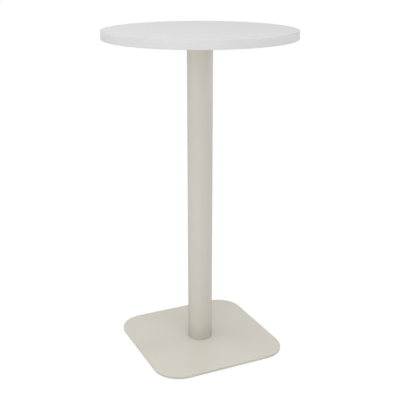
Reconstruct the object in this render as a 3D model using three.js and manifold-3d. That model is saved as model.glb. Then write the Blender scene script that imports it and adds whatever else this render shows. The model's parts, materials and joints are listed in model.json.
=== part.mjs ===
// Standing-height meeting table: a round edge-banded top on a steel pedestal.
// The pedestal is a round tube with a disc welded into each end. A square plate is bolted to
// the lower disc and stands on four levelling feet, and a four-armed spider is bolted to the
// upper disc and screwed to inserts in the underside of the top.
// Millimetres, +Z up, origin on the floor under the column, X and Y along the plate's sides.

import * as THREE from "three";
import { mergeVertices, toCreasedNormals } from "three/addons/utils/BufferGeometryUtils.js";
import Module from "manifold-3d";

const wasm = await Module();
wasm.setup();

// Overall height, from the floor to the top surface
const tableHeight = 1050;

// Table top: a faced board with a plastic strip glued round its edge
const topDiameter = 600;
const topThickness = 25;
const edgeBandThickness = 2;
const edgeBandRounding = 1.5;
const edgeBandJoint = 0.4;

// Column: a round tube with a disc welded into each end
const columnDiameter = 80;
const columnWall = 2.5;
const endDiscThickness = 10;
const endDiscWeldLeg = 4;
const endDiscVentDiameter = 16;

// Base: a square steel plate with large round corners
const baseSide = 450;
const baseCornerRadius = 86;
const baseThickness = 8;
const baseEdgeBreak = 1;

// Spider: a plate with four tapered arms that carries the top
const spiderThickness = 6;
const spiderHubMargin = 8;
const spiderArmLength = 165;
const spiderTipRadius = 20;
const spiderFilletRadius = 30;
const spiderEdgeBreak = 0.6;
const spiderInnerScrewRadius = 95;

// Countersunk bolts that hold the plate and the spider to the column's end discs
const boltDiameter = 8;
const boltLength = 20;
const boltHeadDiameter = 16;
const boltHeadLand = 0.6;
const boltHeadRecess = 0.2;
const boltKeySize = 5;
const boltKeyDepth = 3;
const boltToTubeWall = 15.5;

// Button-head screws that hold the top to the spider, and their inserts in the board
const screwDiameter = 6;
const screwHeadDiameter = 11;
const screwHeadHeight = 3.4;
const screwHeadFlat = 6;
const screwKeySize = 4;
const screwKeyDepth = 2;
const screwTipGap = 2;
const insertDiameter = 10;
const insertLength = 13;
const insertHoleSpare = 1.5;

// Levelling feet: a threaded stud with a hex collar, turning in a moulded pad
const footInset = 50;
const padDiameter = 32;
const padFloor = 1.2;
const padLip = 0.9;
const padWall = 2.4;
const padRounding = 1.1;
const studDiameter = 8;
const studButtonDiameter = 12.4;
const studButtonThickness = 1.3;
const studNeckDiameter = 8.4;
const studCollarSize = 13;
const studCollarHeight = 2.6;
const studTipGap = 0.4;
const footHoleWeb = 1.8;

// Clearances: between stacked painted faces, round seated pieces, and round threads
const coatGap = 0.1;
const seatGap = 0.3;
const threadGap = 0.2;
const endChamfer = 0.8;

// How finely round shapes are divided
const topSides = 80;
const columnSides = 48;
const padSides = 24;
const fastenerSides = 16;
const cornerDivisions = 6;
const roundingDivisions = 3;
const creaseAngle = Math.PI / 7;

// Levels and sizes that follow from the driving dimensions
const quarterTurn = Math.PI / 2;
const padHeight = padFloor + studButtonThickness + 2 * seatGap + padLip;
const baseUnderside = padHeight + seatGap + studCollarHeight + coatGap;
const baseTop = baseUnderside + baseThickness;
const topUnderside = tableHeight - topThickness;
const spiderTop = topUnderside - coatGap;
const spiderUnderside = spiderTop - spiderThickness;
const columnFoot = baseTop + coatGap;
const columnLength = spiderUnderside - coatGap - columnFoot;
const tubeBoreRadius = columnDiameter / 2 - columnWall;
const boltCircleRadius = tubeBoreRadius - boltToTubeWall;
const boltConeHeight = (boltHeadDiameter - boltDiameter) / 2;
const screwReach = spiderThickness + coatGap + insertLength - screwTipGap;
const footReach = (baseSide / 2 - baseCornerRadius) * Math.SQRT2 + baseCornerRadius - footInset;
const footHoleDepth = baseThickness - footHoleWeb;
const studThreadLength = coatGap + footHoleDepth - studTipGap;

const facedBoard = new THREE.MeshStandardMaterial({ color: 0xdcdcdc, roughness: 0.55, metalness: 0 });
const edgePlastic = new THREE.MeshStandardMaterial({ color: 0xdadada, roughness: 0.5, metalness: 0 });
const powderCoat = new THREE.MeshStandardMaterial({ color: 0xcfcbc0, roughness: 0.6, metalness: 0 });
const zincSteel = new THREE.MeshStandardMaterial({ color: 0xb9bbbd, roughness: 0.35, metalness: 1 });
const blackNylon = new THREE.MeshStandardMaterial({ color: 0x2a2a2b, roughness: 0.6, metalness: 0 });

// A solid of revolution about Z. The profile is [radius, height] pairs, counterclockwise,
// and either starts and ends on the axis or returns to its first point.
function revolve(profile, sides) {
  const points = profile.map(([radius, height]) => new THREE.Vector2(radius, height));
  return new THREE.LatheGeometry(points, sides).rotateX(quarterTurn);
}

// A flat outline given a thickness upwards from z = 0, with its edges broken if asked for.
function slab(outline, thickness, edgeBreak = 0) {
  return new THREE.ExtrudeGeometry(outline, {
    depth: thickness - 2 * edgeBreak,
    curveSegments: cornerDivisions,
    bevelEnabled: edgeBreak > 0,
    bevelThickness: edgeBreak,
    bevelSize: edgeBreak,
    bevelOffset: -edgeBreak,
    bevelSegments: 1,
  }).translate(0, 0, edgeBreak);
}

// Points of a quarter ellipse in a profile, from startAngle on, both ends included.
function quarterRound(centreRadius, centreHeight, reachOut, reachUp, startAngle) {
  return Array.from({ length: roundingDivisions + 1 }, (_, i) => {
    const angle = startAngle + (quarterTurn * i) / roundingDivisions;
    return [centreRadius + reachOut * Math.cos(angle), centreHeight + reachUp * Math.sin(angle)];
  });
}

// A hexagon measured across its flats.
function hexagon(acrossFlats) {
  const outline = new THREE.Shape();
  const corner = acrossFlats / 2 / Math.cos(Math.PI / 6);
  for (let i = 0; i < 6; i += 1) {
    const angle = (i * Math.PI) / 3;
    const point = [corner * Math.cos(angle), corner * Math.sin(angle)];
    if (i === 0) outline.moveTo(...point);
    else outline.lineTo(...point);
  }
  outline.closePath();
  return outline;
}

function toSolid(geometry) {
  const bare = new THREE.BufferGeometry();
  bare.setAttribute("position", geometry.getAttribute("position"));
  bare.setIndex(geometry.index);
  const merged = mergeVertices(bare, 1e-4);
  const vertProperties = merged.getAttribute("position").array;
  const triVerts = Uint32Array.from(merged.index.array);
  return new wasm.Manifold(new wasm.Mesh({ numProp: 3, vertProperties, triVerts }));
}

function toGeometry(solid) {
  const { vertProperties, triVerts } = solid.getMesh();
  const geometry = new THREE.BufferGeometry();
  geometry.setAttribute("position", new THREE.BufferAttribute(vertProperties, 3));
  geometry.setIndex(new THREE.BufferAttribute(triVerts, 1));
  return toCreasedNormals(geometry, creaseAngle);
}

function cut(geometry, tools) {
  return toGeometry(tools.reduce((rest, tool) => rest.subtract(toSolid(tool)), toSolid(geometry)));
}

function join(first, second) {
  return toGeometry(toSolid(first).add(toSolid(second)));
}

// The four diagonal directions, in which the bolts, the spider's arms and the feet stand.
const diagonals = [0, 1, 2, 3].map((i) => Math.PI / 4 + i * quarterTurn);

function around(radius) {
  return diagonals.map((angle) => [radius * Math.cos(angle), radius * Math.sin(angle)]);
}

function piece(name, geometry, material, x = 0, y = 0, z = 0) {
  const mesh = new THREE.Mesh(geometry, material);
  mesh.name = name;
  mesh.position.set(x, y, z);
  return mesh;
}

// A countersunk bolt standing on the flat face of its head, and the hole that it passes.
function countersunkBolt() {
  const head = boltHeadDiameter / 2;
  const shank = boltDiameter / 2;
  const body = revolve(
    [
      [0, 0],
      [head, 0],
      [head, boltHeadLand],
      [shank, boltHeadLand + boltConeHeight],
      [shank, boltLength - endChamfer],
      [shank - endChamfer, boltLength],
      [0, boltLength],
    ],
    fastenerSides,
  );
  return cut(body, [slab(hexagon(boltKeySize), 2 * boltKeyDepth).translate(0, 0, -boltKeyDepth)]);
}

function boltHole(headFace) {
  const head = boltHeadDiameter / 2 + seatGap;
  const shank = boltDiameter / 2 + threadGap;
  const coneTop = boltHeadLand + boltConeHeight + seatGap - threadGap;
  return revolve(
    [
      [0, -boltHeadDiameter],
      [head, -boltHeadDiameter],
      [head, boltHeadLand],
      [shank, coneTop],
      [shank, boltLength + boltHeadDiameter],
      [0, boltLength + boltHeadDiameter],
    ],
    fastenerSides,
  ).translate(0, 0, headFace);
}

function boltHoles(headFace) {
  return around(boltCircleRadius).map(([x, y]) => boltHole(headFace).translate(x, y, 0));
}

// Everything that joins one end of the column to the plate on it. The plate's outer face is at
// z = 0, its inner face at plateThickness, and the column runs on upwards from there.
function columnEnd(discName, boltName, plateThickness) {
  const end = new THREE.Group();
  const discFace = plateThickness + coatGap;
  const rim = tubeBoreRadius - seatGap;
  const vent = endDiscVentDiameter / 2;
  const disc = revolve(
    [
      [vent, 0],
      [rim, 0],
      [rim, endDiscThickness + endDiscWeldLeg],
      [rim - endDiscWeldLeg, endDiscThickness],
      [vent, endDiscThickness],
      [vent, 0],
    ],
    columnSides,
  );
  const drilledDisc = cut(disc, boltHoles(boltHeadRecess - discFace));
  end.add(piece(discName, drilledDisc, powderCoat, 0, 0, discFace));
  around(boltCircleRadius).forEach(([x, y], i) => {
    end.add(piece(`${boltName}_${i + 1}`, countersunkBolt(), zincSteel, x, y, boltHeadRecess));
  });
  return end;
}

// Column
function columnTube() {
  const outside = columnDiameter / 2;
  const profile = [
    [tubeBoreRadius, 0],
    [outside, 0],
    [outside, columnLength],
    [tubeBoreRadius, columnLength],
    [tubeBoreRadius, 0],
  ];
  return piece("column_tube", revolve(profile, columnSides), powderCoat, 0, 0, columnFoot);
}

// Base plate, with countersunk holes under the column and a blind tapped hole for each foot
function basePlate() {
  const reach = baseSide / 2 - baseCornerRadius;
  const outline = new THREE.Shape();
  diagonals.forEach((angle, i) => {
    const x = Math.sign(Math.cos(angle)) * reach;
    const y = Math.sign(Math.sin(angle)) * reach;
    outline.absarc(x, y, baseCornerRadius, i * quarterTurn, (i + 1) * quarterTurn, false);
  });
  outline.closePath();
  const hole = studDiameter / 2 + threadGap;
  const footHoles = around(footReach).map(([x, y]) =>
    revolve(
      [
        [0, -studDiameter],
        [hole, -studDiameter],
        [hole, footHoleDepth],
        [0, footHoleDepth],
      ],
      fastenerSides,
    ).translate(x, y, 0),
  );
  const plate = slab(outline, baseThickness, baseEdgeBreak);
  return piece("base_plate", cut(plate, [...boltHoles(boltHeadRecess), ...footHoles]), powderCoat);
}

// Spider: each arm tapers along the common tangents of the hub circle and its own tip circle,
// and neighbouring arms meet in a fillet. Its screw holes lie along the arms.
function screwPositions() {
  return [...around(spiderInnerScrewRadius), ...around(spiderArmLength)];
}

function spiderPlate() {
  const hub = columnDiameter / 2 + spiderHubMargin;
  const sideNormal = Math.acos((hub - spiderTipRadius) / spiderArmLength);
  const betweenArms = quarterTurn / 2;
  const filletReach = (hub + spiderFilletRadius) / Math.cos(sideNormal - betweenArms);
  const outline = new THREE.Shape();
  diagonals.forEach((arm) => {
    const tip = [spiderArmLength * Math.cos(arm), spiderArmLength * Math.sin(arm)];
    outline.absarc(...tip, spiderTipRadius, arm - sideNormal, arm + sideNormal, false);
    const valley = arm + betweenArms;
    const fillet = [filletReach * Math.cos(valley), filletReach * Math.sin(valley)];
    const filletStart = arm + sideNormal + Math.PI;
    const filletEnd = arm + quarterTurn - sideNormal + Math.PI;
    outline.absarc(...fillet, spiderFilletRadius, filletStart, filletEnd, true);
  });
  outline.closePath();
  const hole = screwDiameter / 2 + seatGap;
  const screwHoles = screwPositions().map(([x, y]) =>
    revolve(
      [
        [0, -screwDiameter],
        [hole, -screwDiameter],
        [hole, spiderThickness + screwDiameter],
        [0, spiderThickness + screwDiameter],
      ],
      fastenerSides,
    ).translate(x, y, 0),
  );
  const plate = slab(outline, spiderThickness, spiderEdgeBreak);
  return piece("top_spider", cut(plate, [...boltHoles(boltHeadRecess), ...screwHoles]), powderCoat);
}

// Table top
function topBoard() {
  const radius = topDiameter / 2 - edgeBandThickness - seatGap;
  const hole = insertDiameter / 2 + seatGap;
  const depth = insertLength + insertHoleSpare;
  const holes = screwPositions().map(([x, y]) =>
    revolve(
      [
        [0, -insertLength],
        [hole, -insertLength],
        [hole, depth],
        [0, depth],
      ],
      fastenerSides,
    ).translate(x, y, 0),
  );
  const board = revolve(
    [
      [0, 0],
      [radius, 0],
      [radius, topThickness],
      [0, topThickness],
    ],
    topSides,
  );
  return piece("top_board", cut(board, holes), facedBoard);
}

function edgeBand() {
  const outside = topDiameter / 2;
  const inside = outside - edgeBandThickness;
  const rounding = Math.min(edgeBandRounding, edgeBandThickness - seatGap);
  const round = outside - rounding;
  const ring = revolve(
    [
      [inside, 0],
      ...quarterRound(round, rounding, rounding, rounding, -quarterTurn),
      ...quarterRound(round, topThickness - rounding, rounding, rounding, 0),
      [inside, topThickness],
      [inside, 0],
    ],
    topSides,
  );
  const joint = new THREE.BoxGeometry(edgeBandJoint, 4 * edgeBandThickness, 2 * topThickness);
  joint.translate(0, outside - edgeBandThickness / 2, topThickness / 2);
  return piece("edge_band", cut(ring, [joint]), edgePlastic);
}

function threadedInsert() {
  const outside = insertDiameter / 2;
  const bore = screwDiameter / 2 + threadGap;
  return revolve(
    [
      [bore, 0],
      [outside, 0],
      [outside, insertLength - endChamfer],
      [outside - endChamfer, insertLength],
      [bore, insertLength],
      [bore, 0],
    ],
    fastenerSides,
  );
}

// A button-head screw with its shank upwards from the bearing face of the head at z = 0.
function buttonScrew() {
  const head = screwHeadDiameter / 2;
  const shank = screwDiameter / 2;
  const flat = screwHeadFlat / 2;
  const body = revolve(
    [
      [0, -screwHeadHeight],
      ...quarterRound(flat, 0, head - flat, screwHeadHeight, -quarterTurn),
      [shank, 0],
      [shank, screwReach - endChamfer],
      [shank - endChamfer, screwReach],
      [0, screwReach],
    ],
    fastenerSides,
  );
  const socket = slab(hexagon(screwKeySize), 2 * screwKeyDepth);
  return cut(body, [socket.translate(0, 0, -screwHeadHeight - screwKeyDepth)]);
}

function tableTop() {
  const top = new THREE.Group();
  top.position.z = topUnderside;
  top.add(topBoard(), edgeBand());
  screwPositions().forEach(([x, y], i) => {
    const bearing = spiderUnderside - coatGap - topUnderside;
    top.add(piece(`top_insert_${i + 1}`, threadedInsert(), zincSteel, x, y));
    top.add(piece(`top_screw_${i + 1}`, buttonScrew(), zincSteel, x, y, bearing));
  });
  return top;
}

// Levelling feet
function footPad() {
  const rim = padDiameter / 2;
  const socket = studButtonDiameter / 2 + seatGap;
  const mouth = studNeckDiameter / 2 + seatGap;
  const shoulder = socket + padWall;
  const lipUnderside = padHeight - padLip;
  const crown = quarterRound(shoulder, padRounding, rim - shoulder, padHeight - padRounding, 0);
  return revolve(
    [
      [0, 0],
      [rim - padRounding, 0],
      ...crown,
      [mouth, padHeight],
      [mouth, lipUnderside],
      [socket, lipUnderside],
      [socket, padFloor],
      [0, padFloor],
    ],
    padSides,
  );
}

// The stud stands on its button, which the pad's socket holds, with its collar under the plate.
function footStud() {
  const button = studButtonDiameter / 2;
  const neck = studNeckDiameter / 2;
  const thread = studDiameter / 2;
  const collarFoot = studButtonThickness + seatGap + padLip + seatGap;
  const collarTop = collarFoot + studCollarHeight;
  const tip = collarTop + studThreadLength;
  const shaft = revolve(
    [
      [0, 0],
      [button, 0],
      [button, studButtonThickness],
      [neck, studButtonThickness],
      [neck, collarFoot + studCollarHeight / 2],
      [thread, collarFoot + studCollarHeight / 2],
      [thread, tip - endChamfer],
      [thread - endChamfer, tip],
      [0, tip],
    ],
    fastenerSides,
  );
  const collar = slab(hexagon(studCollarSize), studCollarHeight).translate(0, 0, collarFoot);
  return join(shaft, collar);
}

function levellingFeet() {
  const feet = new THREE.Group();
  around(footReach).forEach(([x, y], i) => {
    feet.add(piece(`foot_pad_${i + 1}`, footPad(), blackNylon, x, y));
    feet.add(piece(`foot_stud_${i + 1}`, footStud(), zincSteel, x, y, padFloor + seatGap));
  });
  return feet;
}

// Assembly: the base stands upright, and the spider's end of the column hangs upside down
const base = columnEnd("column_foot_disc", "base_bolt", baseThickness);
base.add(basePlate());
base.position.z = baseUnderside;

const head = columnEnd("column_head_disc", "spider_bolt", spiderThickness);
head.add(spiderPlate());
head.position.z = spiderTop;
head.rotation.x = Math.PI;

const table = new THREE.Group();
table.name = "standing_meeting_table";
table.add(levellingFeet(), base, columnTube(), head, tableTop());

export default table;
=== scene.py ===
"""A standing-height meeting table: the surfaces and finishes of its pieces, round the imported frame.

Every piece is worked out in metres in the frame's own axes: +Z up from the floor, X and Y along
the sides of the base plate. Places and main sizes are read from the frame, and the small sizes
that it doesn't hold are named below.
"""

import json
import math

import bpy
import bmesh
import numpy as np
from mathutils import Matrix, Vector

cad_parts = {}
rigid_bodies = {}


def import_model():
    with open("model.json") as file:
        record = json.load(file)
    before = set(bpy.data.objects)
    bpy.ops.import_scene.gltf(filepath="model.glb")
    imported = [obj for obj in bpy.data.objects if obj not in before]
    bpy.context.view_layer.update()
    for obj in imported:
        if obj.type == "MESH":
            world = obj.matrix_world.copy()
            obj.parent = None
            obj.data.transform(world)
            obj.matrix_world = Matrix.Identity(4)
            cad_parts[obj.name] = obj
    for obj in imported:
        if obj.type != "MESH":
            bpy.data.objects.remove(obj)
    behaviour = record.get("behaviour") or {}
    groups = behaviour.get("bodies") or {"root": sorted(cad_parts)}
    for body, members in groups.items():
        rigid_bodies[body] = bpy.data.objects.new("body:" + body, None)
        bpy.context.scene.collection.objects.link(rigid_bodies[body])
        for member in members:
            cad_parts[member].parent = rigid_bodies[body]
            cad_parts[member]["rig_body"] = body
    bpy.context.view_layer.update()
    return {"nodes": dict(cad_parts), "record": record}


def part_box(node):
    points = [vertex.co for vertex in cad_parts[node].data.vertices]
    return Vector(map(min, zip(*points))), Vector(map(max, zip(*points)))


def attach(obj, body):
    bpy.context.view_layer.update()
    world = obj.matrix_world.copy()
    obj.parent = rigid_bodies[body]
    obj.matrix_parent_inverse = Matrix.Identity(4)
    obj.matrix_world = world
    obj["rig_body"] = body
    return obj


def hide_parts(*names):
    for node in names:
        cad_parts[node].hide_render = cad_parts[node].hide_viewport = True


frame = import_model()

MM = 0.001
FOUR = range(1, 5)
EIGHT = range(1, 9)
OUTER_SCREW = "top_screw_5"

# Table top
GLUE_LINE = 0.05 * MM
BOARD_EDGE = 0.08 * MM
STRIP_THICKNESS = 2.0 * MM
STRIP_ROUNDING = 1.5 * MM
STRIP_JOINT = 0.25 * MM

# Pedestal
TUBE_WALL = 2.5 * MM
TUBE_EDGE = 0.3 * MM
PLATE_CORNER = 86.0 * MM
PLATE_EDGE = 0.9 * MM
SPIDER_HUB_MARGIN = 8.0 * MM
SPIDER_FILLET = 30.0 * MM
SPIDER_EDGE = 0.6 * MM

# Fasteners: hexagon keys are given by half their width across the flats
BOLT_SHANK = 4.0 * MM
BOLT_LAND = 0.6 * MM
BOLT_HEAD_BREAK = 0.3 * MM
BOLT_KEY = 2.5 * MM
BOLT_KEY_DEPTH = 3.0 * MM
BOLT_KEY_POINT = 1.2 * MM
BOLT_KEY_RING = 1.2 * MM
BOLT_TIP = 0.8 * MM
BOLT_CLEARANCE = 0.25 * MM
SCREW_SHANK = 3.0 * MM
SCREW_HEAD_HEIGHT = 3.4 * MM
SCREW_FLAT = 3.0 * MM
SCREW_KEY = 2.0 * MM
SCREW_KEY_DEPTH = 2.0 * MM
SCREW_KEY_POINT = 0.9 * MM
KEY_LEAD = 0.2 * MM
INSERT_BORE = 3.2 * MM
INSERT_PITCH = 2.5 * MM
INSERT_RIDGE = 0.8 * MM
INSERT_LEAD = 0.5 * MM
INSERT_CLEARANCE = 0.1 * MM
INSERT_HOLE_SPARE = 1.5 * MM

# Levelling feet
PAD_FLOOR = 1.2 * MM
PAD_LIP = 0.9 * MM
PAD_WALL = 2.4 * MM
PAD_EDGE = 0.7 * MM
FOOT_CLEARANCE = 0.3 * MM
BUTTON_RADIUS = 6.2 * MM
BUTTON_THICKNESS = 1.3 * MM
NECK_RADIUS = 4.2 * MM
COLLAR_FLATS = 6.5 * MM
COLLAR_HEIGHT = 2.6 * MM
COLLAR_BEVEL = 0.5 * MM
THREAD_RADIUS = 4.0 * MM
THREAD_DEPTH = 0.55 * MM
THREAD_PITCH = 1.25 * MM
FOOT_HOLE_WEB = 1.8 * MM

# How finely round shapes are divided, and the flat steps that are left beside rounded edges
TOP_SIDES = 360
TUBE_SIDES = 128
FOOT_SIDES = 96
FASTENER_SIDES = 48
ARC_STEPS = 28
EDGE_STEPS = 5
DOME_STEPS = 14
CROWN_STEPS = 19
INSERT_STEPS = 59
THREAD_STEPS = 8
GUARD_SHARE = 0.6
PLATE_GUARD = 2.0 * MM
SHARP_ANGLE = math.radians(32)
MERGE_DISTANCE = 0.001 * MM

QUARTER = math.pi / 2
EIGHTH = math.pi / 4
SIXTH = math.pi / 3


# Places and sizes in the frame

def span(node):
    """The lowest and highest corner of a frame node, as arrays."""
    low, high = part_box(node)
    return np.array(low), np.array(high)


def lower_end(node):
    """The point on a node's vertical axis at its lowest height."""
    low, high = span(node)
    return np.array([*(low + high)[:2] / 2, low[2]])


def upper_end(node):
    """The point on a node's vertical axis at its highest height."""
    low, high = span(node)
    return np.array([*(low + high)[:2] / 2, high[2]])


def half_width(node):
    """Half of a node's width along X, which is the radius of a round one."""
    low, high = span(node)
    return (high[0] - low[0]) / 2


def length(node):
    """A node's length along Z."""
    low, high = span(node)
    return high[2] - low[2]


# Meshes

def mesh_piece(name, points, faces):
    """A closed mesh whose doubled points at poles and seams are merged and whose faces look outwards."""
    mesh = bpy.data.meshes.new(name)
    mesh.from_pydata(np.asarray(points).reshape(-1, 3), [], faces)
    work = bmesh.new()
    work.from_mesh(mesh)
    bmesh.ops.remove_doubles(work, verts=work.verts, dist=MERGE_DISTANCE)
    bmesh.ops.recalc_face_normals(work, faces=work.faces)
    work.to_mesh(mesh)
    work.free()
    mesh.shade_smooth()
    mesh.set_sharp_from_angle(angle=SHARP_ANGLE)
    piece = bpy.data.objects.new(name, mesh)
    bpy.context.scene.collection.objects.link(piece)
    return piece


def grid_faces(rows, columns, rows_close=False):
    """The quads of a grid of points: each point with the next in its row and the two in the next row.

    The last point of a row joins the first, and the last row joins the first if the rows close.
    """
    row_steps = rows if rows_close else rows - 1
    i, j = np.meshgrid(np.arange(row_steps), np.arange(columns), indexing="ij")
    next_i, next_j = (i + 1) % rows, (j + 1) % columns
    corners = [i * columns + j, i * columns + next_j, next_i * columns + next_j, next_i * columns + j]
    return np.stack(corners, axis=-1).reshape(-1, 4).tolist()


def capped_faces(rows, columns):
    """The quads of a grid whose first and last rows are each closed by one polygon."""
    first, last = range(columns), range((rows - 1) * columns, rows * columns)
    return grid_faces(rows, columns) + [list(first)[::-1], list(last)]


def unit(vector):
    """A vector divided by its own length."""
    return vector / np.linalg.norm(vector)


def rounded(*corners):
    """A profile through corners (radius, height, rounding), with an arc in place of each rounded corner.

    An arc is tangent to both sides of its corner: it starts and ends at rounding / tan(half angle)
    from the corner, and its centre lies on the bisector at rounding / sin(half angle). A short
    straight step is left on either side of it, so that the flats beside it shade flat.
    """
    corners = np.array(corners, float)
    stretches = []
    for before, here, after in zip(np.roll(corners, 1, 0), corners, np.roll(corners, -1, 0)):
        point, size = here[:2], here[2]
        if size == 0:
            stretches.append(point[None])
            continue
        back, onward = unit(before[:2] - point), unit(after[:2] - point)
        half = math.acos(np.clip(back @ onward, -1, 1)) / 2
        reach, sweep = size / math.tan(half), math.pi - 2 * half
        centre = point + unit(back + onward) * size / math.sin(half)
        start, end = point + back * reach - centre, point + onward * reach - centre
        t = np.linspace(0, 1, EDGE_STEPS + 1)[:, None]
        arc = centre + (np.sin((1 - t) * sweep) * start + np.sin(t * sweep) * end) / math.sin(sweep)
        guard = GUARD_SHARE * size
        stretches += [arc[:1] + back * guard, arc, arc[-1:] + onward * guard]
    return np.concatenate(stretches)


def carried_round(profile, angle):
    """Points of (radius, height) pairs carried round Z: each radius times the angle's cosine and sine."""
    radius, height = profile
    return np.stack([radius * np.cos(angle), radius * np.sin(angle), height + 0 * angle], axis=-1)


def turned(name, profile, sides, place=(0, 0, 0), flats=None, wave=None, ring=False, upside_down=False):
    """A turned piece: its profile runs from pole to pole, or, for a ring, closes on itself.

    At angle a the radius is the smaller of the profile's own and flats / cos(a - middle of the
    nearest side), which cuts a hexagon out of the circle; flats is half the width across it. A
    wave is then taken off the radius: a function of height and angle.
    """
    angle = np.linspace(0, 2 * math.pi, sides, endpoint=False)[None, :]
    radius, height = np.asarray(profile, float).T[:, :, None]
    if flats is not None:
        radius = np.minimum(radius, np.asarray(flats)[:, None] / np.cos(angle % SIXTH - SIXTH / 2))
    if wave is not None:
        radius = radius - wave(height, angle)
    points = carried_round((radius, height), angle)
    if upside_down:
        points = points * (1, -1, -1)
    rows, columns = points.shape[:2]
    return mesh_piece(name, points + np.asarray(place), grid_faces(rows, columns, rows_close=ring))


def helix(height, angle, pitch, depth):
    """How deep a thread is cut: a triangle wave of height over the pitch less the share of a turn."""
    phase = (height / pitch - angle / (2 * math.pi)) % 1
    return depth * np.abs(2 * phase - 1)


def arc_outline(arcs):
    """A flat outline of arcs (centre, radius, start, end, side) joined by straight lines.

    Gives its points and their outward directions; side is 1 for a bulge and -1 for a hollow.
    """
    points, outward = [], []
    for centre, radius, start, end, side in arcs:
        angle = np.linspace(start, end, ARC_STEPS + 1)
        ray = np.stack([np.cos(angle), np.sin(angle)], axis=-1)
        points.append(np.asarray(centre) + radius * ray)
        outward.append(side * ray)
    return np.concatenate(points), np.concatenate(outward)


def plate(name, outline, low, high, edge):
    """A flat plate: a quarter-circle profile, above and below, carried round an outline for its edge.

    Each row of points is the outline moved inwards by the profile's offset at the profile's height,
    and the two faces are closed by one polygon each, a flat step inside the edge.
    """
    points, outward = outline
    turn = np.linspace(0, QUARTER, EDGE_STEPS + 1)
    inset = np.concatenate([[edge + PLATE_GUARD], edge * (1 - np.sin(turn))])
    rise = np.concatenate([[0], edge * (1 - np.cos(turn))])
    inset = np.concatenate([inset, inset[::-1]])
    height = np.concatenate([low + rise, high - rise[::-1]])
    flat = points[None] - inset[:, None, None] * outward[None]
    level = np.broadcast_to(height[:, None, None], flat.shape[:2] + (1,))
    return mesh_piece(name, np.concatenate([flat, level], axis=-1), capped_faces(*flat.shape[:2]))


def pin_drill(place, radius, low, high):
    """What is drilled for a straight hole between two heights."""
    profile = [(0, low), (radius, low), (radius, high), (0, high)]
    return turned("pin_drill", profile, FASTENER_SIDES, (place[0], place[1], 0))


def drilled(piece, drills):
    """Cuts the drills, which are closed pieces, out of a piece and removes them."""
    for drill in drills:
        hole = piece.modifiers.new("hole", "BOOLEAN")
        hole.operation = "DIFFERENCE"
        hole.solver = "EXACT"
        hole.object = drill
    depsgraph = bpy.context.evaluated_depsgraph_get()
    cut = bpy.data.meshes.new_from_object(piece.evaluated_get(depsgraph))
    cut.shade_smooth()
    cut.set_sharp_from_angle(angle=SHARP_ANGLE)
    piece.modifiers.clear()
    piece.data = cut
    for drill in drills:
        bpy.data.objects.remove(drill)
    return piece


# Shader nodes

class Value:
    """A number that varies over a surface or a sky. Arithmetic on it adds Math nodes to its tree."""

    def __init__(self, nodes, socket):
        self.nodes = nodes
        self.socket = socket

    def math(self, operation, first, second):
        """What a Math node makes of two numbers."""
        return self.nodes.node("Math", {"operation": operation}, {0: first, 1: second})

    def __add__(self, other):
        return self.math("ADD", self, other)

    def __sub__(self, other):
        return self.math("SUBTRACT", self, other)

    def __rsub__(self, other):
        return self.math("SUBTRACT", other, self)

    def __mul__(self, other):
        return self.math("MULTIPLY", self, other)

    def __pow__(self, other):
        return self.math("POWER", self, other)

    def larger(self, other):
        """The larger of this and another number."""
        return self.math("MAXIMUM", self, other)

    def swing(self, reach):
        """A noise of 0 to 1 brought to either side of zero, half its reach each way."""
        return (self - 0.5) * reach

    def over(self, low, high):
        """0 up to low, 1 from high on, and a smooth step between them."""
        sockets = {"Value": self, "From Min": low, "From Max": high}
        return self.nodes.node("MapRange", {"interpolation_type": "SMOOTHSTEP"}, sockets)

    __radd__ = __add__
    __rmul__ = __mul__


class Nodes:
    """A node tree in the making: a finish, the floor's material or the sky."""

    def __init__(self, tree):
        self.tree = tree

    def node(self, kind, settings=None, sockets=None, out=0):
        """Adds a shader node, sets it, feeds its sockets, and gives one of its outputs."""
        node = self.tree.nodes.new("ShaderNode" + kind)
        for setting, choice in (settings or {}).items():
            setattr(node, setting, choice)
        for socket, feed in (sockets or {}).items():
            self.feed(node.inputs[socket], feed)
        return Value(self, node.outputs[out])

    def feed(self, socket, feed):
        """Links a value to a socket, or sets the socket to a plain number, colour or vector."""
        if isinstance(feed, Value):
            self.tree.links.new(feed.socket, socket)
        else:
            socket.default_value = feed

    def looked_at(self):
        """1 for rays that see the background: the camera's own, and those in reflections and glass."""
        camera = self.node("LightPath", out="Is Camera Ray")
        mirror = self.node("LightPath", out="Is Glossy Ray")
        glass = self.node("LightPath", out="Is Transmission Ray")
        return camera.larger(mirror).larger(glass)


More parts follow.
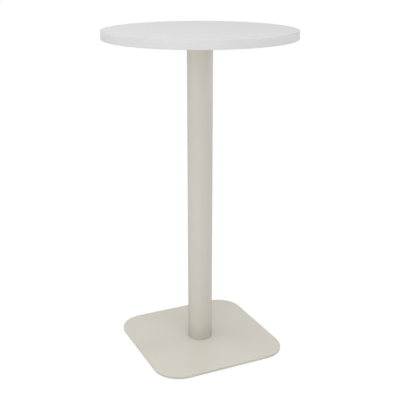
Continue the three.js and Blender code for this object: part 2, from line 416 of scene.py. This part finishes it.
class Finish(Nodes):
    """A material in the making: what is even is set on its shader, what varies is linked to it."""

    def __init__(self, name, **even):
        self.material = bpy.data.materials.new(name)
        self.material.use_nodes = True
        super().__init__(self.material.node_tree)
        self.shader = self.tree.nodes["Principled BSDF"]
        self.place = self.node("TexCoord", out="Object")
        self.dress(**even)

    def dress(self, **feeds):
        """Feeds the shader's sockets, with _ for a space in their names, and gives the material."""
        for socket, feed in feeds.items():
            self.feed(self.shader.inputs[socket.replace("_", " ")], feed)
        return self.material

    def height(self):
        """Height above the floor."""
        return self.node("SeparateXYZ", None, {"Vector": self.place}, out="Z")

    def noise(self, size, detail=2.0, stretch=(1, 1, 1), roughness=0.5):
        """Soft noise of about 0 to 1 whose blotches are about size metres across."""
        vector = self.node("Mapping", {"vector_type": "POINT"}, {"Vector": self.place, "Scale": stretch})
        sockets = {"Vector": vector, "Scale": 1 / size, "Detail": detail, "Roughness": roughness}
        return self.node("TexNoise", None, sockets)

    def cells(self, size):
        """Distance from the nearest of many points about size metres apart, as a share of that size."""
        return self.node("TexVoronoi", None, {"Vector": self.place, "Scale": 1 / size})

    def blend(self, amount, first, second):
        """A colour between two others."""
        return self.node("Mix", {"data_type": "RGBA"}, {0: amount, 6: first, 7: second}, out=2)

    def toned(self, amount, colour, spread):
        """A colour that goes from a share darker to a share lighter as the amount goes from 0 to 1."""
        return self.blend(amount, shade(colour, 1 - spread), shade(colour, 1 + spread))

    def relief(self, height, depth, below=None):
        """Bumps of that depth in metres, over any that lie below."""
        sockets = {"Height": height, "Distance": depth, "Strength": 1.0}
        if below is not None:
            sockets["Normal"] = below
        return self.node("Bump", None, sockets)


# Finishes

def shade(colour, factor=1.0):
    """A colour made lighter or darker."""
    return (*(min(1.0, channel * factor) for channel in colour), 1.0)


FACE_GREY = (0.731, 0.731, 0.731)
STRIP_GREY = (0.681, 0.681, 0.681)
GREIGE = (0.648, 0.621, 0.546)
ZINC = (0.60, 0.62, 0.64)
ZINC_STRAW = (0.66, 0.63, 0.53)
NYLON = (0.022, 0.022, 0.024)

# Painted shade in the powder coat: the darker tone it is painted with, and how much of it is painted at
# each place
PAINTED_SHADE_TONE = 0.6
FOOT_SHADE = 0.36
FOOT_SHADE_HEIGHT = 70 * MM
HEAD_SHADE = 0.16
HEAD_SHADE_HEIGHT = 16 * MM
CUT_EDGE_SHADE = 0.18

# The darker flecks in the powder coat: how dark they are, and how much of that shows
FLECK_TONE = 0.72
FLECK_SHADE = 0.20


def melamine_face():
    """Light grey melamine: a fine pearl of shallow pits, faint clouds in its tone, and a dull sheen."""
    finish = Finish("melamine_face", IOR=1.5)
    clouds = finish.noise(size=90 * MM, detail=3)
    pearl = finish.noise(size=0.9 * MM, detail=3, roughness=0.6)
    tone = clouds.swing(0.5) + pearl.swing(0.5) + 0.5
    return finish.dress(
        Base_Color=finish.toned(tone, FACE_GREY, spread=0.015),
        Roughness=0.60 + pearl.swing(0.16) + clouds.swing(0.08),
        Normal=finish.relief(pearl, depth=0.01 * MM),
    )


def edge_plastic():
    """Matching plastic strip: faint lines drawn along it by the scraper, over a fine moulded grain."""
    finish = Finish("edge_plastic", IOR=1.5)
    drawn = finish.noise(size=6 * MM, detail=3, stretch=(0.1, 0.1, 14))
    grain = finish.noise(size=0.5 * MM)
    return finish.dress(
        Base_Color=finish.toned(drawn * 0.7 + grain * 0.3, STRIP_GREY, spread=0.02),
        Roughness=0.70 + drawn.swing(0.14),
        Normal=finish.relief(grain * 0.4 + drawn * 0.6, depth=0.003 * MM),
    )


def powder_coat(name, painted_shade=None, drawn=0.0):
    """Matt powder coat: rounded orange-peel bumps, a finer grain over them, and a fleck of darker powder.

    Painted shade, where it is given, is a function of the finish that gives how much of the darker
    painted tone shows. Where the steel under it was drawn, its fine lines spread the gloss across them.
    """
    finish = Finish(name, IOR=1.45, Anisotropic=drawn)
    peel = finish.noise(size=1.6 * MM, detail=1)
    grain = finish.noise(size=0.35 * MM)
    clouds = finish.noise(size=60 * MM, detail=3)
    fleck = 1 - finish.cells(size=1.1 * MM).over(0.10, 0.22)
    colour = finish.toned(clouds, GREIGE, spread=0.007)
    if painted_shade:
        # Painted shade: a darker tone blended in where the given function says shade falls
        colour = finish.blend(painted_shade(finish), colour, shade(GREIGE, PAINTED_SHADE_TONE))
    return finish.dress(
        Base_Color=finish.blend(fleck * FLECK_SHADE, colour, shade(GREIGE, FLECK_TONE)),
        Roughness=0.40 + grain.swing(0.10) + clouds.swing(0.03),
        Normal=finish.relief(grain, depth=0.004 * MM, below=finish.relief(peel, depth=0.012 * MM)),
    )


def painted_shade_at_ends(finish):
    """Painted shade: the coat is darkened towards the column's foot and head, where shade falls in the
    inside corners.
    """
    low, high = span("column_tube")
    height = finish.height()
    foot = 1 - height.over(low[2], low[2] + FOOT_SHADE_HEIGHT)
    head = height.over(high[2] - HEAD_SHADE_HEIGHT, high[2])
    return foot * FOOT_SHADE + head * HEAD_SHADE


def painted_shade_on_side(finish):
    """Painted shade: the plate's side and underside, below the rounding of its top edge, are darkened a
    little against its face.
    """
    face = upper_end("base_plate")[2]
    edge = 1 - finish.height().over(face - PLATE_EDGE, face - PLATE_EDGE / 2)
    # The painted shade shows below the top edge's rounding
    return edge * CUT_EDGE_SHADE


def zinc_plate():
    """Bright zinc on steel: a blue-white metal with straw-coloured clouds and fine turned scratches."""
    finish = Finish("zinc_plate", Metallic=1.0)
    clouds = finish.noise(size=3.5 * MM, detail=3)
    scratch = finish.noise(size=0.4 * MM, stretch=(1, 1, 6))
    return finish.dress(
        Base_Color=finish.blend(clouds.over(0.5, 0.8) * 0.6, shade(ZINC), shade(ZINC_STRAW)),
        Roughness=0.30 + scratch.swing(0.2) + clouds.swing(0.1),
        Normal=finish.relief(scratch, depth=0.006 * MM),
    )


def black_nylon():
    """Moulded black nylon: an eroded grain, scuffed paler and duller in patches."""
    finish = Finish("black_nylon", IOR=1.53)
    grain = finish.noise(size=0.3 * MM)
    scuff = finish.noise(size=7 * MM, detail=4).over(0.52, 0.78)
    return finish.dress(
        Base_Color=finish.blend(scuff * 0.5, shade(NYLON), shade(NYLON, 2.2)),
        Roughness=0.50 + scuff * 0.18 + grain.swing(0.12),
        Normal=finish.relief(grain, depth=0.03 * MM),
    )


finishes = {
    "top_face": melamine_face(),
    "edge_plastic": edge_plastic(),
    "powder_coat": powder_coat("powder_coat"),
    "zinc_steel": zinc_plate(),
    "foot_nylon": black_nylon(),
}
slot_of = {part["node"]: part["material_slot"] for part in frame["record"]["subparts"]}


def seat(piece, node, finish=None):
    """The piece takes the place, the body and the finish of a frame node."""
    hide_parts(node)
    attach(piece, frame["nodes"][node]["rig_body"])
    piece.data.materials.clear()
    piece.data.materials.append(finish or finishes[slot_of[node]])


# Table top

top_radius = half_width("edge_band")
top_underside = lower_end("edge_band")[2]
top_surface = upper_end("edge_band")[2]


def insert_drill(node):
    """What is drilled in the board for an insert: a blind hole, a little wider and deeper than it."""
    low, high = span(node)
    hole = half_width(node) + INSERT_CLEARANCE
    bottom, depth = low[2] - INSERT_HOLE_SPARE, high[2] + INSERT_HOLE_SPARE
    return pin_drill(lower_end(node), hole, bottom, depth)


def top_panel():
    """The board: a flat disc with crisp edges, a hair round, drilled from below for its inserts."""
    radius = top_radius - STRIP_THICKNESS - GLUE_LINE
    profile = rounded(
        (0, top_underside, 0),
        (radius, top_underside, BOARD_EDGE),
        (radius, top_surface, BOARD_EDGE),
        (0, top_surface, 0),
    )
    drills = [insert_drill(f"top_insert_{i}") for i in EIGHT]
    return drilled(turned("top_panel", profile, TOP_SIDES), drills)


def edge_strip():
    """The strip: a rounded section carried round the rim from one side of its butt joint to the other."""
    inside = top_radius - STRIP_THICKNESS
    section = rounded(
        (inside, top_underside, BOARD_EDGE),
        (top_radius, top_underside, STRIP_ROUNDING),
        (top_radius, top_surface, STRIP_ROUNDING),
        (inside, top_surface, BOARD_EDGE),
    )
    half_joint = STRIP_JOINT / 2 / top_radius
    start = QUARTER + half_joint
    angle = np.linspace(start, start + 2 * math.pi - 2 * half_joint, TOP_SIDES + 1)[:, None]
    points = carried_round(section.T[:, None, :], angle)
    return mesh_piece("edge_strip", points, capped_faces(*points.shape[:2]))


seat(top_panel(), "top_board")
seat(edge_strip(), "edge_band")

# Pedestal

tube_radius = half_width("column_tube")
bolt_head = half_width("base_bolt_1")
bolt_length = length("base_bolt_1")
bolt_cone_end = BOLT_LAND + bolt_head - BOLT_SHANK


def column_pipe():
    """The tube: a thin wall turned about the axis, with its sawn ends deburred."""
    low, high = span("column_tube")
    inside = tube_radius - TUBE_WALL
    wall = rounded(
        (inside, low[2], TUBE_EDGE),
        (tube_radius, low[2], TUBE_EDGE),
        (tube_radius, high[2], TUBE_EDGE),
        (inside, high[2], TUBE_EDGE),
    )
    return turned("column_pipe", wall, TUBE_SIDES, ring=True)


def bolt_drill(node, upside_down=False):
    """What is drilled for a bolt: a countersink that opens at its head, and a clear hole past its end."""
    head, shank = bolt_head + BOLT_CLEARANCE, BOLT_SHANK + BOLT_CLEARANCE
    opening, past = -bolt_head, 2 * bolt_length
    profile = [(0, opening), (head, opening), (head, BOLT_LAND), (shank, bolt_cone_end)]
    profile += [(shank, past), (0, past)]
    place = upper_end(node) if upside_down else lower_end(node)
    return turned("bolt_drill", profile, FASTENER_SIDES, place, upside_down=upside_down)


def base_slab():
    """The plate: a square with a quarter circle at each corner, drilled for its bolts and feet."""
    low, high = span("base_plate")
    reach = high[0] - PLATE_CORNER
    corners = [(1, 1), (-1, 1), (-1, -1), (1, -1)]
    arcs = [
        ((reach * x, reach * y), PLATE_CORNER, i * QUARTER, (i + 1) * QUARTER, 1)
        for i, (x, y) in enumerate(corners)
    ]
    slab = plate("base_slab", arc_outline(arcs), low[2], high[2], PLATE_EDGE)
    drills = [bolt_drill(f"base_bolt_{i}") for i in FOUR]
    hole = THREAD_RADIUS + FOOT_CLEARANCE
    bottom, depth = low[2] - COLLAR_HEIGHT, high[2] - FOOT_HOLE_WEB
    feet = [lower_end(f"foot_pad_{i}") for i in FOUR]
    drills += [pin_drill(foot, hole, bottom, depth) for foot in feet]
    return drilled(slab, drills)


def spider_arms():
    """The spider: arms that taper along the tangents of the hub and tip circles and meet in fillets.

    A tangent of circles of radii hub and tip, a reach apart, leans so that its normal makes an
    angle of acos((hub - tip) / reach) with the arm. The tips are centred on the outer four screws.
    """
    low, high = span("top_spider")
    reach = np.linalg.norm(lower_end(OUTER_SCREW)[:2])
    tip = high[0] - reach * math.cos(EIGHTH)
    hub = tube_radius + SPIDER_HUB_MARGIN
    lean = math.acos((hub - tip) / reach)
    valley_reach = (hub + SPIDER_FILLET) / math.cos(lean - EIGHTH)
    arcs = []
    for i in range(4):
        arm = EIGHTH + QUARTER * i
        valley = arm + EIGHTH
        ray = np.array([math.cos(arm), math.sin(arm)])
        between = np.array([math.cos(valley), math.sin(valley)])
        arcs.append((reach * ray, tip, arm - lean, arm + lean, 1))
        hollow = (arm + lean + math.pi, arm + QUARTER - lean + math.pi)
        arcs.append((valley_reach * between, SPIDER_FILLET, *hollow, -1))
    arms = plate("spider_arms", arc_outline(arcs), low[2], high[2], SPIDER_EDGE)
    drills = [bolt_drill(f"spider_bolt_{i}", upside_down=True) for i in FOUR]
    hole = SCREW_SHANK + BOLT_CLEARANCE
    bottom, past = low[2] - SCREW_HEAD_HEIGHT, high[2] + SCREW_HEAD_HEIGHT
    screws = [lower_end(f"top_screw_{i}") for i in EIGHT]
    drills += [pin_drill(screw, hole, bottom, past) for screw in screws]
    return drilled(arms, drills)


# The column's coat carries painted shade at its foot and head
seat(column_pipe(), "column_tube", powder_coat("column_coat", painted_shade_at_ends, drawn=0.9))
# The plate's coat carries painted shade on its side and underside
seat(base_slab(), "base_plate", powder_coat("plate_coat", painted_shade_on_side))
seat(spider_arms(), "top_spider")
for disc in ("column_head_disc", "column_foot_disc"):
    frame["nodes"][disc].data.materials[0] = finishes["powder_coat"]

# Fasteners and feet

# The rows of their profiles are (radius, height, half the width across a hexagon's flats or ROUND)
ROUND = math.inf


def turned_rows(name, rows, place, wave=None, upside_down=False):
    """A turned fastener from rows that hold the hexagon's size beside each radius and height."""
    rows = np.array(rows)
    profile, flats = rows[:, :2], rows[:, 2]
    return turned(name, profile, FASTENER_SIDES, place, flats, wave=wave, upside_down=upside_down)


def hexagon_key(key, depth, point, head):
    """A hexagon key: from the point of its drilled hole up its flats and out over a short lead."""
    return [
        (0, depth + point, ROUND),
        (key, depth, ROUND),
        (head, depth, key),
        (head, KEY_LEAD, key),
        (head, 0, key + KEY_LEAD),
    ]


def countersunk_bolt(name, node, upside_down=False):
    """A countersunk bolt: from its key out over the head, whose rim is broken, and down to the tip."""
    rows = hexagon_key(BOLT_KEY, BOLT_KEY_DEPTH, BOLT_KEY_POINT, bolt_head) + [
        (BOLT_KEY + BOLT_KEY_RING, 0, ROUND),
        (bolt_head - 2 * BOLT_HEAD_BREAK, 0, ROUND),
        (bolt_head - BOLT_HEAD_BREAK, 0, ROUND),
        (bolt_head, BOLT_HEAD_BREAK, ROUND),
        (bolt_head, BOLT_LAND, ROUND),
        (BOLT_SHANK, bolt_cone_end, ROUND),
        (BOLT_SHANK, bolt_length - BOLT_TIP, ROUND),
        (BOLT_SHANK - BOLT_TIP, bolt_length, ROUND),
        (0, bolt_length, ROUND),
    ]
    place = upper_end(node) if upside_down else lower_end(node)
    return turned_rows(name, rows, place, upside_down=upside_down)


def button_screw(name, node):
    """A button-head screw: a key in the flat of an elliptic dome, and a plain shank into its insert."""
    head, bearing, end = half_width(node), SCREW_HEAD_HEIGHT, length(node)
    turn = np.linspace(0, QUARTER, DOME_STEPS + 1)
    dome_radius = SCREW_FLAT + (head - SCREW_FLAT) * np.sin(turn)
    dome_height = bearing * (1 - np.cos(turn))
    key = hexagon_key(SCREW_KEY, SCREW_KEY_DEPTH, SCREW_KEY_POINT, head)
    dome = np.stack([dome_radius, dome_height, np.full_like(turn, ROUND)], axis=-1)
    shank = [(SCREW_SHANK, bearing, ROUND), (SCREW_SHANK, end, ROUND), (0, end, ROUND)]
    return turned_rows(name, np.concatenate([key, dome, shank]), lower_end(node))


def insert_sleeve(name, node):
    """A threaded insert: a sleeve whose outside, bevelled at both ends, is cut by a coarse helix."""
    outside, end = half_width(node), length(node)
    levels = np.linspace(0, end, INSERT_STEPS + 1)
    from_end = np.minimum(levels, end - levels)
    wall = np.stack([np.minimum(outside, outside - INSERT_LEAD + from_end), levels], axis=-1)
    bore = [(INSERT_BORE, end), (INSERT_BORE, 0)]
    on_wall = np.concatenate([np.ones_like(levels), np.zeros(len(bore))])[:, None]

    def ridge(height, angle):
        """The helix on the outside, and nothing in the bore."""
        return on_wall * helix(height, angle, INSERT_PITCH, INSERT_RIDGE)

    profile = np.concatenate([wall, bore])
    return turned(name, profile, FASTENER_SIDES, lower_end(node), wave=ridge, ring=True)


def foot_glide(name, node):
    """A pad: a low dome with a socket that snaps over the stud's button, turned about its axis."""
    rim, height = half_width(node), length(node)
    socket, mouth = BUTTON_RADIUS + FOOT_CLEARANCE, NECK_RADIUS + FOOT_CLEARANCE
    shoulder = socket + PAD_WALL
    turn = np.linspace(0, QUARTER, CROWN_STEPS + 1)
    crown_radius = shoulder + (rim - shoulder) * np.cos(turn)
    crown_height = PAD_EDGE + (height - PAD_EDGE) * np.sin(turn)
    crown = np.stack([crown_radius, crown_height], axis=-1)
    sole = np.stack([rim - PAD_EDGE * (1 - np.sin(turn)), PAD_EDGE * (1 - np.cos(turn))], axis=-1)
    well = [(mouth, height), (mouth, height - PAD_LIP), (socket, height - PAD_LIP)]
    well += [(socket, PAD_FLOOR), (0, PAD_FLOOR)]
    start = [(0, 0), (rim - 2 * PAD_EDGE, 0)]
    profile = np.concatenate([start, sole, crown[1:], [(shoulder - PAD_EDGE, height)], well])
    return turned(name, profile, FOOT_SIDES, lower_end(node))


def foot_screw(name, node):
    """A stud: a button, a neck, a hexagon collar with turned bevels, and a helical thread.

    The bevels are cones that clip the hexagon's corners, and the thread is cut between the collar
    and the tip.
    """
    end = length(node)
    collar = BUTTON_THICKNESS + PAD_LIP + 2 * FOOT_CLEARANCE
    collar_top = collar + COLLAR_HEIGHT
    corner = COLLAR_FLATS / math.cos(SIXTH / 2)
    bevel_radius = np.linspace(COLLAR_FLATS - COLLAR_BEVEL / 2, corner, EDGE_STEPS)
    bevel_rise = np.linspace(0, COLLAR_BEVEL, EDGE_STEPS)
    flats = np.full_like(bevel_rise, COLLAR_FLATS)
    lower = np.stack([bevel_radius, collar + bevel_rise, flats], axis=-1)
    upper = np.stack([bevel_radius, collar_top - bevel_rise, flats], axis=-1)[::-1]
    button = [
        (0, 0, ROUND),
        (BUTTON_RADIUS, 0, ROUND),
        (BUTTON_RADIUS, BUTTON_THICKNESS, ROUND),
        (NECK_RADIUS, BUTTON_THICKNESS, ROUND),
        (NECK_RADIUS, collar, ROUND),
    ]
    levels = np.arange(collar_top, end, THREAD_PITCH / THREAD_STEPS)
    thread = np.stack([np.full_like(levels, THREAD_RADIUS), levels, np.full_like(levels, ROUND)], axis=-1)
    tip = [(THREAD_RADIUS - 2 * THREAD_DEPTH, end, ROUND), (0, end, ROUND)]

    def groove(height, angle):
        """The helix between the collar and the tip."""
        in_thread = (height > collar_top) & (height < end)
        return in_thread * helix(height, angle, THREAD_PITCH, THREAD_DEPTH)

    rows = np.concatenate([button, lower, upper, thread, tip])
    return turned_rows(name, rows, lower_end(node), wave=groove)


for i in FOUR:
    seat(countersunk_bolt(f"plate_bolt_{i}", f"base_bolt_{i}"), f"base_bolt_{i}")
    head_bolt = countersunk_bolt(f"head_bolt_{i}", f"spider_bolt_{i}", upside_down=True)
    seat(head_bolt, f"spider_bolt_{i}")
for i in EIGHT:
    seat(button_screw(f"fixing_screw_{i}", f"top_screw_{i}"), f"top_screw_{i}")
    seat(insert_sleeve(f"insert_sleeve_{i}", f"top_insert_{i}"), f"top_insert_{i}")
for i in FOUR:
    seat(foot_glide(f"foot_glide_{i}", f"foot_pad_{i}"), f"foot_pad_{i}")
    seat(foot_screw(f"foot_screw_{i}", f"foot_stud_{i}"), f"foot_stud_{i}")

# Camera: on the photograph's line of sight, which meets the axis a little below half height

VIEW_TURN = math.radians(-25.11)
VIEW_DROP = math.radians(18.54)
VIEW_REACH = 2.270
VIEW_HEIGHT = 1.268
LENS = 66.2
FILM = 36.0
FAR_LIMIT = 200


def photo_camera():
    """The camera, at a turn round the column, a reach from its axis and a height above the floor."""
    camera = bpy.data.cameras.new("photo_camera")
    camera.sensor_width = FILM
    camera.lens = LENS
    camera.clip_end = FAR_LIMIT
    holder = bpy.data.objects.new("photo_camera", camera)
    holder.location = (math.sin(VIEW_TURN) * VIEW_REACH, -math.cos(VIEW_TURN) * VIEW_REACH, VIEW_HEIGHT)
    holder.rotation_euler = (QUARTER - VIEW_DROP, 0, VIEW_TURN)
    bpy.context.scene.collection.objects.link(holder)
    bpy.context.scene.camera = holder


photo_camera()

# Studio: a white floor and surround, and soft lights whose turns are counted from the camera's

FLOOR_SIDE = 120.0
FLOOR_WHITE = (0.82, 0.82, 0.82, 1)
FLOOR_GLOW = 1.06
SHADOW_SHARE = 0.10
SKY_WHITE = (1, 1, 1, 1)
SKY_LIGHT = 1.46
SKY_FOCUS = 3.0
AIM_HEIGHT = 0.5


def floor_material():
    """Matt white that looks white to the camera, keeps a share of the shadow, and is clear from below."""
    material = bpy.data.materials.new("floor_white")
    material.use_nodes = True
    nodes = Nodes(material.node_tree)
    matt = nodes.node("BsdfDiffuse", None, {"Color": FLOOR_WHITE})
    white = nodes.node("Emission", None, {"Strength": FLOOR_GLOW})
    whiteness = nodes.looked_at() * (1 - SHADOW_SHARE)
    shown = nodes.node("MixShader", None, {0: whiteness, 1: matt, 2: white})
    from_below = nodes.node("NewGeometry", out="Backfacing")
    clear = nodes.node("BsdfTransparent")
    sided = nodes.node("MixShader", None, {0: from_below, 1: shown, 2: clear})
    nodes.feed(nodes.tree.nodes["Material Output"].inputs["Surface"], sided)
    return material


def studio_floor():
    """One large square at floor height."""
    corners = np.array([(-1, -1, 0), (1, -1, 0), (1, 1, 0), (-1, 1, 0)]) * FLOOR_SIDE / 2
    mesh = bpy.data.meshes.new("floor")
    mesh.from_pydata(corners, [], [(0, 1, 2, 3)])
    mesh.materials.append(floor_material())
    floor = bpy.data.objects.new("floor", mesh)
    bpy.context.scene.collection.objects.link(floor)


def studio_world():
    """A white surround where it is seen; where it lights the table, a sky that brightens overhead.

    With u the upward part of a ray's direction, the light is SKY_LIGHT * u ** SKY_FOCUS.
    """
    world = bpy.data.worlds.new("studio")
    world.use_nodes = True
    nodes = Nodes(world.node_tree)
    direction = nodes.node("TexCoord", out="Generated")
    upward = nodes.node("SeparateXYZ", None, {"Vector": direction}, out="Z").larger(0.0)
    light = upward ** SKY_FOCUS * SKY_LIGHT
    seen = nodes.looked_at()
    background = nodes.tree.nodes["Background"]
    nodes.feed(background.inputs["Color"], SKY_WHITE)
    nodes.feed(background.inputs["Strength"], (1 - seen) * light + seen)
    bpy.context.scene.world = world


def softbox(name, turn, rise, distance, width, height, power):
    """A soft rectangular light, turned round from the camera and raised, that is aimed at the column."""
    light = bpy.data.lights.new(name, "AREA")
    light.shape = "RECTANGLE"
    light.size = width
    light.size_y = height
    light.energy = power
    lamp = bpy.data.objects.new(name, light)
    around, up = VIEW_TURN + math.radians(turn), math.radians(rise)
    lamp.location = (
        distance * math.cos(up) * math.sin(around),
        -distance * math.cos(up) * math.cos(around),
        AIM_HEIGHT + distance * math.sin(up),
    )
    lamp.rotation_euler = (QUARTER - up, 0, around)
    bpy.context.scene.collection.objects.link(lamp)


studio_floor()
studio_world()
softbox("front_softbox", turn=0, rise=24, distance=2.6, width=3.2, height=2.0, power=21.3)
softbox("right_softbox", turn=46, rise=23, distance=2.4, width=1.2, height=1.2, power=7.7)
softbox("left_softbox", turn=-64, rise=12, distance=3.2, width=1.6, height=2.0, power=19.7)
softbox("side_softbox", turn=113, rise=12, distance=3.2, width=1.6, height=2.0, power=19.6)
softbox("upper_softbox", turn=-100, rise=42, distance=2.0, width=1.0, height=1.0, power=5.2)
softbox("overhead_softbox", turn=-10, rise=60, distance=2.6, width=1.0, height=1.0, power=7.0)

bpy.context.scene.view_settings.view_transform = "Standard"
